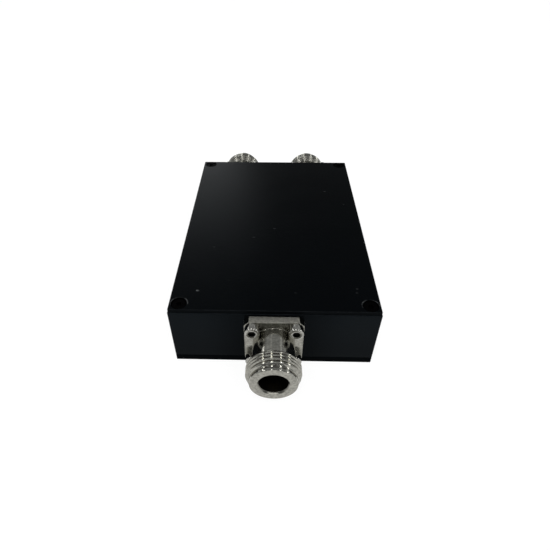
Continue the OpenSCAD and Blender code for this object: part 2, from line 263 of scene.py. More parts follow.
class Wiring:
    """Adds nodes to one shader tree and links them."""

    def __init__(self, tree: bpy.types.NodeTree) -> None:
        """Starts on an empty tree.

        Args:
            tree: Tree of a material or of the world.
        """
        self.tree = tree
        tree.nodes.clear()

    def node(self, kind: str, inputs: dict[str | int, Any] | None = None, **settings: Any) -> bpy.types.Node:
        """Adds a node.

        Args:
            kind: Type name without its ShaderNode prefix.
            inputs: A value, or another node's output, for each input that isn't left as it is.
            settings: Properties of the node itself.

        Returns:
            The new node.
        """
        made = self.tree.nodes.new("ShaderNode" + kind)
        for key, value in settings.items():
            setattr(made, key, value)
        for key, value in (inputs or {}).items():
            if isinstance(value, Socket):
                self.tree.links.new(value, made.inputs[key])
            else:
                made.inputs[key].default_value = value
        return made

    def math(self, operation: str, *values: float | Socket) -> Socket:
        """Result of a Math node on one, two or three values."""
        return self.node("Math", dict(enumerate(values)), operation=operation).outputs[0]

    def spread(self, value: Socket, source: Pair, target: Pair) -> Socket:
        """Maps a stretch of values onto another one, clamped at both ends.

        Args:
            value: What is mapped.
            source: The two ends of the stretch that is read.
            target: What they become.

        Returns:
            The mapped value.
        """
        ends = {"Value": value, "From Min": source[0], "From Max": source[1],
                "To Min": target[0], "To Max": target[1]}
        return self.node("MapRange", ends, interpolation_type="SMOOTHSTEP").outputs[0]

    def mix(self, factor: float | Socket, first: Any, second: Any) -> Socket:
        """Blends two colours.

        Args:
            factor: Share of the second one.
            first: A colour, or another node's output.
            second: The other one, in the same way.

        Returns:
            The blended colour.
        """
        # For colours, the node's inputs are the ones with these numbers and its output is the third one
        made = self.node("Mix", data_type="RGBA")
        sockets = {0: factor, 6: first, 7: second}
        for key, value in sockets.items():
            if isinstance(value, Socket):
                self.tree.links.new(value, made.inputs[key])
            else:
                made.inputs[key].default_value = (*value, 1) if key else value
        return made.outputs[2]

    def place(self) -> Socket:
        """Object coordinates, in metres."""
        return self.node("TexCoord").outputs["Object"]

    def trait(self, trait: Trait) -> Socket:
        """Amount of a trait at each point, nothing where a mesh has none."""
        return self.node("Attribute", attribute_name=trait.value).outputs["Fac"]

    def span(self, first: Socket, second: Socket) -> Socket:
        """Length of the slanting side over two square sides: the root of the sum of their squares."""
        squares = [self.math("MULTIPLY", side, side) for side in (first, second)]
        return self.math("SQRT", self.math("ADD", *squares))

    def noise(self, size: float, detail: float = 2, stretch: Triple = (1, 1, 1)) -> Socket:
        """Soft random field on Object coordinates.

        Args:
            size: Length of one blotch, in metres.
            detail: Number of finer layers.
            stretch: How many times longer the blotches are along each axis.

        Returns:
            Values round one half.
        """
        scale = tuple(1 / (size * s) for s in stretch)
        mapping = self.node("Mapping", {"Vector": self.place(), "Scale": scale})
        inputs = {"Vector": mapping.outputs[0], "Scale": 1.0, "Detail": detail}
        return self.node("TexNoise", inputs).outputs[0]

    def bump(self, height: Socket, depth: float) -> Socket:
        """Normal of a surface with small hills and hollows of the given depth, in metres."""
        return self.node("Bump", {"Height": height, "Distance": depth, "Strength": 1.0}).outputs[0]


@dataclass(frozen=True)
class Finish:
    """What every finish has: a name and its colour."""

    name: str
    colour: Colour

    def material(self) -> bpy.types.Material:
        """Makes the material and wires it up.

        Returns:
            The material, with one Principled shader.
        """
        made = bpy.data.materials.new(self.name)
        made.use_nodes = True
        wires = Wiring(made.node_tree)
        shader = wires.node("BsdfPrincipled")
        self.wire(wires, shader)
        wires.node("OutputMaterial", {"Surface": shader.outputs[0]})
        return made

    def wire(self, wires: Wiring, shader: bpy.types.Node) -> None:
        """Sets the shader's inputs; each finish has its own.

        Args:
            wires: Where new nodes go.
            shader: The Principled shader of the material.
        """
        raise NotImplementedError

    def set(self, wires: Wiring, shader: bpy.types.Node, **inputs: Any) -> None:
        """Sets shader inputs by their names in small letters.

        Args:
            wires: Where new links go.
            shader: The Principled shader of the material.
            inputs: A value, or another node's output, for each input.
        """
        for key, value in inputs.items():
            socket = shader.inputs[key.replace("_", " ").title().replace("Ior", "IOR")]
            if isinstance(value, Socket):
                wires.tree.links.new(value, socket)
            else:
                socket.default_value = value


@dataclass(frozen=True)
class Anodised(Finish):
    """Black anodised aluminium: deep black, a low satin gloss, edges worn a little lighter.

    Attributes:
        centre: Middle of the block, in metres.
        half: Half of its three sides, in metres.
        worn: Colour where the edges are rubbed.
        gloss: Specular level; one half is plain plastic.
        sheen: Tint of the gloss.
        roughness: Lowest and highest roughness.
        wear_width: How far the wear reaches in from an edge, in metres.
        wear: Share of the worn colour right at an edge.
        patch: Length of one patch of the wear, in metres.
        patch_least: How strong the wear is in its weakest patches.
        smudge: Length of one smudge, in metres.
        smudge_light: How many times lighter the smudges get.
        grain: Length and depth of one etched grain, in metres.
        specks: Share of the worn colour in the tiny nicks.
        speck_cells: Number of cells with a nick in a metre along each axis.
        speck_size: Distances from a cell's middle between which a nick fades, as shares of the cell.
        speck_pick: Values of a cell's random number between which nicks set in.
    """

    centre: Triple
    half: Triple
    worn: Colour = (0.030, 0.033, 0.034)
    gloss: float = 0.0264
    sheen: Colour = (0.64, 0.84, 1.0)
    roughness: Pair = (0.22, 0.25)
    wear_width: float = 0.28 * MM
    wear: float = 0.35
    patch: float = 3 * MM
    patch_least: float = 0.4
    smudge: float = 9 * MM
    smudge_light: float = 1.25
    grain: Pair = (0.11 * MM, 0.004 * MM)
    specks: float = 0.0
    speck_cells: Triple = (150, 420, 300)
    speck_size: Pair = (0.05, 0.11)
    speck_pick: Pair = (0.86, 0.9)

    def edge_mask(self, wires: Wiring) -> Socket:
        """One along the block's twelve edges and nothing away from them.

        Two sides meet in an edge, and the gap to that edge is the larger one of the gaps to both. The nearest
        edge has the smallest gap.

        Args:
            wires: Where new nodes go.

        Returns:
            The mask.
        """
        centred = wires.node("VectorMath", {0: wires.place(), 1: self.centre}, operation="SUBTRACT")
        outward = wires.node("VectorMath", {0: centred.outputs[0]}, operation="ABSOLUTE")
        inward = wires.node("VectorMath", {0: self.half, 1: outward.outputs[0]}, operation="SUBTRACT")
        x, y, z = wires.node("SeparateXYZ", {0: inward.outputs[0]}).outputs[:3]
        pairs = [wires.math("MAXIMUM", *pair) for pair in ((x, y), (y, z), (z, x))]
        gap = wires.math("MINIMUM", wires.math("MINIMUM", pairs[0], pairs[1]), pairs[2])
        return wires.spread(gap, (0, self.wear_width), (1, 0))

    def nicks(self, wires: Wiring) -> Socket:
        """Tiny nicks: the middles of scattered cells, kept where a cell's random number is high.

        Args:
            wires: Where new nodes go.

        Returns:
            One in the nicks and nothing outside them.
        """
        mapping = wires.node("Mapping", {"Vector": wires.place(), "Scale": self.speck_cells})
        cells = wires.node("TexVoronoi", {"Vector": mapping.outputs[0], "Scale": 1.0})
        dots = wires.spread(cells.outputs["Distance"], self.speck_size, (1, 0))
        number = wires.node("SeparateColor", {0: cells.outputs["Color"]}).outputs[0]
        return wires.math("MULTIPLY", dots, wires.spread(number, self.speck_pick, (0, 1)))

    def tone(self, wires: Wiring, smudge: Socket) -> Socket:
        """Colour at each point: black with soft smudges, worn edges and small nicks.

        Args:
            wires: Where new nodes go.
            smudge: Random field of the smudges.

        Returns:
            The colour.
        """
        lighter = tuple(self.smudge_light * c for c in self.colour)
        colour = wires.mix(smudge, self.colour, lighter)
        patches = wires.noise(self.patch, detail=3)
        patchy = wires.spread(patches, FIELD, (self.patch_least * self.wear, self.wear))
        colour = wires.mix(wires.math("MULTIPLY", self.edge_mask(wires), patchy), colour, self.worn)
        if self.specks:
            colour = wires.mix(wires.math("MULTIPLY", self.nicks(wires), self.specks), colour, self.worn)
        return colour

    def shine(self, wires: Wiring) -> float | Socket:
        """Specular level at each point."""
        return self.gloss

    def wire(self, wires: Wiring, shader: bpy.types.Node) -> None:
        """Satin black with a roughness that drifts with the smudges, and a fine etched grain.

        Args:
            wires: Where new nodes go.
            shader: The Principled shader of the material.
        """
        smudge = wires.noise(self.smudge, detail=4)
        grain, depth = self.grain
        self.set(
            wires, shader,
            base_color=self.tone(wires, smudge),
            roughness=wires.spread(smudge, FIELD, self.roughness),
            specular_ior_level=self.shine(wires),
            specular_tint=(*self.sheen, 1),
            normal=wires.bump(wires.noise(grain), depth),
        )


@dataclass(frozen=True)
class ShadedGlossBody(Anodised):
    """The body's black, which is duller beside the connectors and towards its lower edges, as painted shade
    for the shadowed floor that its faces mirror there.

    Attributes:
        dull: Distances from the middle along X between which the dullness fades, in metres.
        dull_share: Share of the gloss that is left inside the first one.
        rise: Heights between which the gloss grows, in metres.
        rise_shares: Shares of the gloss at these heights.
    """

    dull: Pair = (8 * MM, 23 * MM)
    dull_share: float = 0.5
    rise: Pair = (3 * MM, 21 * MM)
    rise_shares: Pair = (0.66, 1.1)

    def shine(self, wires: Wiring) -> Socket:
        """Specular level at each point, with painted shade: the gloss times a share from the middle outwards
        and one upwards.

        Args:
            wires: Where new nodes go.

        Returns:
            The specular level.
        """
        x, _, z = wires.node("SeparateXYZ", {0: wires.place()}).outputs
        levels = (self.dull_share * self.gloss, self.gloss)
        outwards = wires.spread(wires.math("ABSOLUTE", x), self.dull, levels)
        return wires.math("MULTIPLY", outwards, wires.spread(z, self.rise, self.rise_shares))


@dataclass(frozen=True)
class ScrewedCover(Anodised):
    """The cover's black: painted shade and dirt fill its countersinks, the front ones have a painted
    highlight in patches along the edge, and chips show metal.

    Attributes:
        screw: X and Y of the right rear corner screw, in metres; the other three mirror it.
        grime_and_shade: Colour of the painted shade and dirt in the countersinks.
        grime_and_shade_r: Radius of the painted shade and dirt round each screw, in metres.
        grime_and_shade_fade: Share of that radius over which the painted shade and dirt fade.
        rim_w: Width of the painted highlight on the rim beyond it, in metres.
        rim_fade: Share of its radius over which each edge of the rim fades.
        rim_front: Y between which the painted highlight stops, in metres, so that only the front screws have
            it.
        rim_end: Shares of the radius in front of a screw between which its rim ends.
        rim_side: Shares of the radius beside a screw between which its rim's painted highlight grows to full
            strength.
        rim_far: Strength of the painted highlight on the rim behind a screw, where full strength is 1.
        rim_patch: Length of one patch of the painted highlight on a rim, in metres.
        rim_pick: Values of the random field between which the patches' highlight grows.
        rim_highlight: Share of the metal colour in the weakest and strongest patches of the painted
            highlight.
        chips: X, Y and radius of each chip, in metres, and its share of the metal colour.
        bare_metal_and_highlight: Colour of the metal that the chips show, also used for the painted highlight
            at the front screws.
    """

    screw: Pair = (27.8 * MM, 42.95 * MM)
    grime_and_shade: Colour = (0.0003, 0.0003, 0.0004)
    grime_and_shade_r: float = 2.4 * MM
    grime_and_shade_fade: float = 0.05
    rim_w: float = 0.3 * MM
    rim_fade: float = 0.03
    rim_front: Pair = (-1 * MM, 1 * MM)
    rim_end: Pair = (0, 0.4)
    rim_side: Pair = (0.3, 0.8)
    rim_far: float = 0.12
    rim_patch: float = 0.7 * MM
    rim_pick: Pair = (0.4, 0.62)
    rim_highlight: Pair = (0.1, 0.7)
    chips: tuple[tuple[float, float, float, float], ...] = (
        (-23.2 * MM, -37.45 * MM, 0.45 * MM, 1.0),
        (-22.8 * MM, -37.5 * MM, 0.35 * MM, 0.7),
        (24.8 * MM, -35.8 * MM, 0.5 * MM, 0.12),
        (24.5 * MM, -37.5 * MM, 0.5 * MM, 0.1),
    )
    bare_metal_and_highlight: Colour = (0.060, 0.063, 0.064)

    def across(self, wires: Wiring) -> tuple[Socket, Socket]:
        """X and Y of each point, in metres."""
        x, y = wires.node("SeparateXYZ", {0: wires.place()}).outputs[:2]
        return x, y

    def from_screw(self, wires: Wiring) -> tuple[Socket, Socket, Socket]:
        """Gaps to the nearest corner screw's axis.

        Args:
            wires: Where new nodes go.

        Returns:
            The gap along X and the gap along Y, less than 0 towards the middle, and the straight gap.
        """
        gaps = [wires.math("SUBTRACT", wires.math("ABSOLUTE", value), axis)
                for value, axis in zip(self.across(wires), self.screw)]
        return *gaps, wires.span(*gaps)

    def grime_and_shade_mask(self, wires: Wiring) -> Socket:
        """Painted shade and dirt: one in the countersinks and nothing outside them."""
        inside = (1 - self.grime_and_shade_fade) * self.grime_and_shade_r
        return wires.spread(self.from_screw(wires)[2], (inside, self.grime_and_shade_r), (1, 0))

    def highlight_rims(self, wires: Wiring) -> Socket:
        """Painted highlight arcs beside and behind the two front screws, in patches like wear: the product of
        all that limits them.

        Args:
            wires: Where new nodes go.

        Returns:
            Share of the metal colour at each point, as painted highlight.
        """
        side, end, gap = self.from_screw(wires)
        fades = np.array([1 - self.rim_fade, 1 + self.rim_fade])
        ends, sides = self.grime_and_shade_r * np.array([self.rim_end, self.rim_side])
        factors = [
            wires.spread(gap, self.grime_and_shade_r * fades, (0, 1)),
            wires.spread(gap, (self.grime_and_shade_r + self.rim_w) * fades, (1, 0)),
            wires.spread(self.across(wires)[1], self.rim_front, (1, 0)),
            wires.spread(end, ends, (1, 0)),
            wires.spread(wires.math("ABSOLUTE", side), sides, (self.rim_far, 1)),
            wires.spread(wires.noise(self.rim_patch), self.rim_pick, self.rim_highlight),
        ]
        share = factors[0]
        for factor in factors[1:]:
            share = wires.math("MULTIPLY", share, factor)
        return share

    def tone(self, wires: Wiring, smudge: Socket) -> Socket:
        """Colour at each point: the black with the painted shade and dirt, the painted highlight at the front
        screws and the chips on top.

        Args:
            wires: Where new nodes go.
            smudge: Random field of the smudges.

        Returns:
            The colour.
        """
        # Painted shade and dirt darken the countersinks
        colour = wires.mix(self.grime_and_shade_mask(wires), super().tone(wires, smudge), self.grime_and_shade)
        # Painted highlight along the front countersinks' edges, in the colour that the chips show
        colour = wires.mix(self.highlight_rims(wires), colour, self.bare_metal_and_highlight)
        for x, y, radius, share in self.chips:
            axes = zip(self.across(wires), (x, y))
            gaps = [wires.math("SUBTRACT", value, middle) for value, middle in axes]
            chip = wires.spread(wires.span(*gaps), (radius / 2, radius), (share, 0))
            colour = wires.mix(chip, colour, self.bare_metal_and_highlight)
        return colour

    def shine(self, wires: Wiring) -> Socket:
        """Specular level at each point, nothing in the painted shade and dirt of the countersinks."""
        return wires.math("MULTIPLY", wires.math("SUBTRACT", 1.0, self.grime_and_shade_mask(wires)), self.gloss)


@dataclass(frozen=True)
class Plated(Finish):
    """Plated or plain metal: a mirror with faint smudges, fine tool marks and painted shade in its recesses.

    Attributes:
        roughness: Lowest and highest roughness.
        satin: What full satin or a dark recess adds to the roughness.
        recess_shade: Painted shade, the colour that a dark recess is darkened to.
        smudge: Length of one smudge, in metres.
        mottle_size: Length of one blotch of the plating, in metres.
        mottle: How dark the blotches get, as a share of the colour.
        marks: Depth of the tool marks, in metres.
        mark_size: Length of one mark along each axis, in metres.
    """

    roughness: Pair = (0.10, 0.18)
    satin: float = 0.3
    recess_shade: Colour = (0.014, 0.013, 0.010)
    smudge: float = 2.5 * MM
    mottle_size: float = 0.8 * MM
    mottle: float = 0.7
    marks: float = 0.002 * MM
    mark_size: Triple = (1 * MM, 0.08 * MM, 1 * MM)

    def wire(self, wires: Wiring, shader: bpy.types.Node) -> None:
        """Metal with small blotches, soft smudges in its gloss, fine marks and painted shade in dark
        recesses.

        Args:
            wires: Where new nodes go.
            shader: The Principled shader of the material.
        """
        smudge = wires.noise(self.smudge, detail=3)
        smallest = min(self.mark_size)
        marks = wires.noise(smallest, detail=1, stretch=tuple(size / smallest for size in self.mark_size))
        recess = wires.trait(Trait.RECESS)
        duller = tuple(self.mottle * c for c in self.colour)
        blotches = wires.spread(wires.noise(self.mottle_size), FIELD, (0, 1))
        colour = wires.mix(blotches, self.colour, duller)
        rough = wires.spread(smudge, FIELD, self.roughness)
        rough = wires.math("MULTIPLY_ADD", wires.trait(Trait.SATIN), self.satin, rough)
        # Painted shade: in dark recesses the colour is darkened to the recess colour
        self.set(
            wires, shader,
            base_color=wires.mix(recess, colour, self.recess_shade),
            metallic=1.0,
            roughness=wires.math("MULTIPLY_ADD", recess, self.satin, rough),
            normal=wires.bump(marks, self.marks),
        )


@dataclass(frozen=True)
class Moulded(Finish):
    """Plastic, laminate or glaze: one tone with soft mottling and a fine grain.

    Attributes:
        mottle: Colour that the mottling drifts to.
        mottle_size: Length of one blotch, in metres.
        roughness: Lowest and highest roughness.
        grain_size: Length of one grain, in metres.
        grain_depth: Depth of the grain, in metres.
        gloss: Specular level.
    """

    mottle: Colour
    mottle_size: float = 2 * MM
    roughness: Pair = (0.35, 0.5)
    grain_size: float = 0.2 * MM
    grain_depth: float = 0.005 * MM
    gloss: float = 0.5

    def wire(self, wires: Wiring, shader: bpy.types.Node) -> None:
        """Mottled tone, with the roughness and a small bump from random fields.

        Args:
            wires: Where new nodes go.
            shader: The Principled shader of the material.
        """
        mottle = wires.noise(self.mottle_size, detail=3)
        self.set(
            wires, shader,
            base_color=wires.mix(mottle, self.colour, self.mottle),
            roughness=wires.spread(mottle, FIELD, self.roughness),
            specular_ior_level=self.gloss,
            normal=wires.bump(wires.noise(self.grain_size), self.grain_depth),
        )


# Sub-assemblies


@dataclass
class Housing:
    """The box: milled body, cover, base plate and the black screws that hold the plates.

    Attributes:
        black: Colour of the anodised body and plates.
        sheen: Tint of the body's gloss.
        plate_sheen: Tint of the base plate's gloss.
        screws: Finish of the screws.
    """

    black: Colour = (0.0010, 0.0013, 0.0016)
    sheen: Colour = (0.47, 0.77, 1.0)
    plate_sheen: Colour = (0.55, 0.80, 1.0)
    screws: Moulded = Moulded(
        "black_screw", colour=(0.0003, 0.0003, 0.0004), mottle=(0.0008, 0.0008, 0.0009), gloss=0.006,
    )

    def block_finish(self, node: str, kind: type[Anodised] = Anodised, **options: Any) -> Anodised:
        """Black finish fitted to a node's own box, for the wear along its edges.

        Args:
            node: Name of the node.
            kind: Class of the finish.
            options: Fields of the finish that differ from its defaults.

        Returns:
            The finish.
        """
        low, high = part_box(node)
        return kind("black_" + node, self.black, tuple((low + high) / 2), tuple((high - low) / 2), **options)

    def dress(self) -> None:
        """Gives the body, the plates and their screws their finishes."""
        body = self.block_finish("body", ShadedGlossBody, gloss=0.075, sheen=self.sheen, wear=0.28)
        dress_node("body", body.material())
        dress_node("top_cover", self.block_finish("top_cover", ScrewedCover, specks=0.6).material())
        base = self.block_finish("base_plate", gloss=0.0055, sheen=self.plate_sheen, wear=0.12)
        dress_node("base_plate", base.material())
        screws = self.screws.material()
        dress_node("cover_screws", screws)
        dress_node("base_screws", screws)


@dataclass
class Circuit:
    """What the closed box holds: the board, its copper, resistors, solder and screws.

    Attributes:
        laminate: Finish of the board.
        copper: Finish of the trace.
        overglaze: Finish of the resistors.
        tin: Finish of their ends and of the solder.
    """

    laminate: Moulded = Moulded("laminate", colour=(0.03, 0.12, 0.06), mottle=(0.04, 0.15, 0.07))
    copper: Plated = Plated("copper", colour=(0.72, 0.36, 0.2), roughness=(0.2, 0.35))
    overglaze: Moulded = Moulded("overglaze", colour=(0.02, 0.02, 0.022), mottle=(0.03, 0.03, 0.032))
    tin: Plated = Plated("tin", colour=(0.62, 0.62, 0.61), roughness=(0.25, 0.4))

    def dress(self, bright: bpy.types.Material) -> None:
        """Gives the board and the parts on it their finishes.

        Args:
            bright: Finish of the bright screws.
        """
        tin = self.tin.material()
        dress_node("circuit_board", self.laminate.material())
        dress_node("copper_trace", self.copper.material())
        dress_node("resistor_chips", self.overglaze.material())
        dress_node("resistor_ends", tin)
        dress_node("solder_joints", tin)
        dress_node("board_screws", bright)


@dataclass
class Connector:
    """A panel socket in one piece: square flange, plain neck, coupling thread, nose and stepped bore.

    Lengths are in metres. Heights count outwards along the axis from the housing's face.

    Attributes:
        port: Which one of the three it is.
        flange_w: Side of the flange.
        flange_t: Thickness of the flange.
        flange_crop: Length that the cropped corners take off each side.
        flange_edge: Rounding along the rim.
        crop_rounding: Rounding between a side and a cropped corner.
        screw_pitch: Distance between two screws along a side.
        screw_hole_r: Radius of the screw holes.
        neck_r: Radius of the neck.
        neck_fillet: Fillet between flange and neck.
        shoulder: Length of the cone between neck and thread.
        thread_r: Outer radius of the thread.
        thread_z: Height of its start.
        thread_bevel: Bevel of its start.
        thread_pitch: Distance between its crests.
        thread_depth: Its depth.
        start_depth: Share of the depth at its start.
        groove: Share of the depth in its deepest groove.
        groove_turn: Number of pitches from the first crest to that groove.
        runout: Share of the depth at the end of the taper.
        first_crest: Height of the first crest.
        crest_turn: Where it has that height, in turns from the connector's X; a quarter is its upper side.
        crest_share: Share of half a pitch that is crest.
        root_share: Share of half a pitch that is root.
        crest_rounding: Share of the flank's way over which it bends away from the crest.
        taper_z: Height at which the thread starts to taper towards the nose.
        taper_step: How much wider than the nose the taper ends.
        nose_r: Radius of the nose.
        nose_z: Height of its start.
        nose_bevel: Bevel of its end.
        reach: Height of its end.
        socket_r: Radius of the bore's wide front part.
        socket_z: Height of the step behind that part.
        socket_bevel: Bevel of the bore's mouth.
        line_r: Radius of the bore behind the step.
        bead_r: Radius of the insulator's seat.
        bead_front: Height of the seat's front end.
        rounding: Rounding of all other edges.
        nose_roundings: Roundings at both ends of the nose's bevel.
        dark_depth: How far inside the mouth the painted shade of the bore reaches its full darkness.
        columns: Number of points round the axis.
        thread_rows: Number of rows along the thread.
        face_rows: Number of rows from a screw hole to the outline of its quarter.
        neck_steps: Number of pieces in each curve of the neck's outline.
        side_steps: Number of pieces in each straight side of a quarter that the next quarter shares.
        edge_steps: Number of pieces in the rounding along the rim.
        face_satin: How satin the flange's faces are.
        rim_satin: How satin the rim is, apart from the cropped corners.
        neck_satin: How satin the neck is.
        shoulder_satin: How satin the shoulder is.
        shoulder_shade: How much painted shade the shoulder has, under the rim of the thread.
    """

    port: Port
    flange_w: float = 17.5 * MM
    flange_t: float = 2.4 * MM
    flange_crop: float = 1.5 * MM
    flange_edge: float = 0.15 * MM
    crop_rounding: float = 0.15 * MM
    screw_pitch: float = 12.7 * MM
    screw_hole_r: float = 1.45 * MM
    neck_r: float = 6.3 * MM
    neck_fillet: float = 0.3 * MM
    shoulder: float = 1.3 * MM
    thread_r: float = 7.94 * MM
    thread_z: float = 11.6 * MM
    thread_bevel: float = 0.25 * MM
    thread_pitch: float = 25.4 / 24 * MM
    thread_depth: float = 0.5 * MM
    start_depth: float = 0.3
    groove: float = 1.3
    groove_turn: float = 2.5
    runout: float = 0.6
    first_crest: float = 12.05 * MM
    crest_turn: float = 0.25
    crest_share: float = 0.1
    root_share: float = 0.1
    crest_rounding: float = 0.4
    taper_z: float = 14.4 * MM
    taper_step: float = 0.2 * MM
    nose_r: float = 6.8 * MM
    nose_z: float = 16.3 * MM
    nose_bevel: float = 0.15 * MM
    reach: float = 17.3 * MM
    socket_r: float = 4.065 * MM
    socket_z: float = 8.2 * MM
    socket_bevel: float = 0.5 * MM
    line_r: float = 3.5 * MM
    bead_r: float = 4.05 * MM
    bead_front: float = 5.5 * MM
    rounding: float = 0.08 * MM
    nose_roundings: Pair = (0.2 * MM, 0.3 * MM)
    dark_depth: float = 0.7 * MM
    columns: int = 192
    thread_rows: int = 140
    face_rows: int = 5
    neck_steps: int = 8
    side_steps: int = 8
    edge_steps: int = 3
    face_satin: float = 0.25
    rim_satin: float = 1.7
    neck_satin: float = 0.17
    shoulder_satin: float = 0.2
    shoulder_shade: float = 0.35

    def placed(self, surface: Surface) -> Surface:
        """Carries a surface from the connector's own axes, with Z outwards, to its seat on the housing.

        The seat is the middle of the shell node's face on the housing. Outwards becomes -Y in front and +Y at
        the rear, and the connector's Y becomes up.

        Args:
            surface: The surface in the connector's own axes.

        Returns:
            The surface in the row frame.
        """
        low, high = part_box(self.port.prefix + "_shell")
        way = self.port.facing.value
        seat_y = low.y if way > 0 else high.y
        x, y, z = surface.points.T
        seat = np.array([(low.x + high.x) / 2, seat_y, (low.z + high.z) / 2])
        return replace(surface, points=seat + np.stack([-way * x, way * z, y], axis=-1))

    def thread_radius(self, envelope: np.ndarray, height: np.ndarray) -> np.ndarray:
        """Radius of the threaded stretch at each height and angle.

        The thread follows a wave that climbs one pitch in a turn and has its first crest at a given height on
        the upper side. The cut below the blank is nothing on the crest and full in the root. On the flanks it
        grows with the square of the way at first, which rounds the crest, and evenly after that. The full
        cut grows over the rear bevel, is deepest in one groove and shrinks along the taper. It never reaches
        the nose.

        Args:
            envelope: Radius of the blank at each height, a (rows,) array.
            height: The heights, a (rows,) array.

        Returns:
            Radii as a (rows, columns) array.
        """
        lag = circle_angles(self.columns)[None, :] / (2 * math.pi) - self.crest_turn
        turns = (height[:, None] - self.first_crest) / self.thread_pitch - lag
        from_crest = 1 - np.abs(2 * (turns % 1) - 1)
        rise = np.clip((from_crest - self.crest_share) / (1 - self.crest_share - self.root_share), 0, 1)
        deepest = self.first_crest + self.groove_turn * self.thread_pitch
        nearby = self.thread_pitch / 2
        stations = [
            self.thread_z, self.thread_z + self.thread_bevel,
            deepest - nearby, deepest, deepest + nearby, self.nose_z,
        ]
        shares = [self.start_depth, 1, 1, self.groove, 1, self.runout]
        depth = self.thread_depth * np.interp(height, stations, shares)
        bent = self.crest_rounding
        fall = np.where(rise < bent, rise**2 / (2 * bent), rise - bent / 2) / (1 - bent / 2)
        cut = envelope[:, None] - depth[:, None] * fall
        return np.maximum(cut, self.nose_r + self.rounding)

    def barrel(self) -> Surface:
        """The turned surface from the flange over neck, thread and nose, and back through the bore.

        Each row is a circle through a point of the rounded outline. Only along the thread does its radius
        change with the angle.

        Returns:
            The patch in the connector's own axes.
        """
        rear = np.array([
            [self.neck_r + self.neck_fillet, self.flange_t],
            [self.neck_r, self.flange_t],
            [self.neck_r, self.thread_z - self.shoulder],
            [self.thread_r - self.thread_bevel, self.thread_z],
        ])
        rear = rounded_outline(rear, np.array([0, self.neck_fillet, self.rounding, 0]), self.neck_steps)
        height = np.linspace(self.thread_z, self.nose_z, self.thread_rows)
        taper_end = self.nose_r + self.taper_step
        envelope = np.interp(
            height,
            [self.thread_z, self.thread_z + self.thread_bevel, self.taper_z, self.nose_z],
            [self.thread_r - self.thread_bevel, self.thread_r, self.thread_r, taper_end],
        )
        front = np.array([
            [self.nose_r, self.nose_z],
            [self.nose_r, self.reach - self.nose_bevel],
            [self.nose_r - self.nose_bevel, self.reach],
            [self.socket_r + self.socket_bevel, self.reach],
            [self.socket_r, self.reach - self.socket_bevel],
            [self.socket_r, self.socket_z],
            [self.line_r, self.socket_z],
            [self.line_r, self.bead_front],
            [self.bead_r, self.bead_front],
            [self.bead_r, 0],
        ])
        roundings = np.full(len(front), self.rounding)
        roundings[1:3] = self.nose_roundings
        front = rounded_outline(front, roundings)
        plain = np.ones(self.columns)
        radius = np.concatenate([
            rear[:, :1] * plain, self.thread_radius(envelope, height), front[:, :1] * plain,
        ])
        height = np.concatenate([rear[:, 1], height, front[:, 1]])
        # Painted shade: the bore darkens inwards from its mouth, and the shoulder under the thread is
        # darkened too
        inside = radius[:, 0] <= self.socket_r + self.socket_bevel
        recess = inside * np.interp(self.reach - height, [0, self.dark_depth], [0, 1])
        sloping = (height > self.thread_z - self.shoulder) & (height <= self.thread_z)
        recess = np.maximum(recess, self.shoulder_shade * sloping)
        plain_neck = height <= self.thread_z - self.shoulder
        satin = self.shoulder_satin * sloping + self.neck_satin * plain_neck * ~inside
        return turned(radius, height, recess, satin[:, None])

    def rim_outline(self, inset: float) -> np.ndarray:
        """A quarter of the flange's rim, from the middle of the right side to the middle of the top side.

        The crop gets shorter with the inset, so that the slanting side moves in as far as the others do.

        Args:
            inset: How far the outline lies inside the flange's full outline.

        Returns:
            Points as an (n, 2) array.
        """
        half = self.flange_w / 2 - inset
        crop = self.flange_crop - inset * (2 - math.sqrt(2))
        corners = np.array([[half, 0], [half, half - crop], [half - crop, half], [0, half]])
        return rounded_outline(corners, np.full(len(corners), self.crop_rounding))

    def quarter_face(self, inner_r: float, height: float) -> Surface:
        """A quarter of a flange face: straight lines from the rim of the screw hole to the quarter's outline.

        The outline runs along X, up the flange's rim, back along Y and round the middle circle.

        Args:
            inner_r: Radius of the circle that is left open in the middle.
            height: Height of the face.

        Returns:
            The patch, facing up.
        """
        rim = self.rim_outline(self.flange_edge)
        share = np.linspace(0, 1, self.side_steps + 1)[1:-1, None]
        along_x = np.array([inner_r, 0]) * (1 - share) + rim[:1] * share
        along_y = rim[-1:] * (1 - share) + np.array([0, inner_r]) * share
        angle = circle_angles(self.columns)[: self.columns // 4 + 1][::-1]
        arc = inner_r * np.stack([np.cos(angle), np.sin(angle)], axis=-1)
        outline = np.concatenate([along_x, rim, along_y, arc])
        hole = np.full(2, self.screw_pitch / 2)
        ways = outline - hole
        edge = hole + self.screw_hole_r * ways / np.linalg.norm(ways, axis=1, keepdims=True)
        rows = np.linspace(0, 1, self.face_rows)[:, None, None]
        flat = edge * (1 - rows) + outline * rows
        grid = np.concatenate([flat, np.full((*flat.shape[:2], 1), height)], axis=-1)
        return Surface.over(grid, satin=self.face_satin)

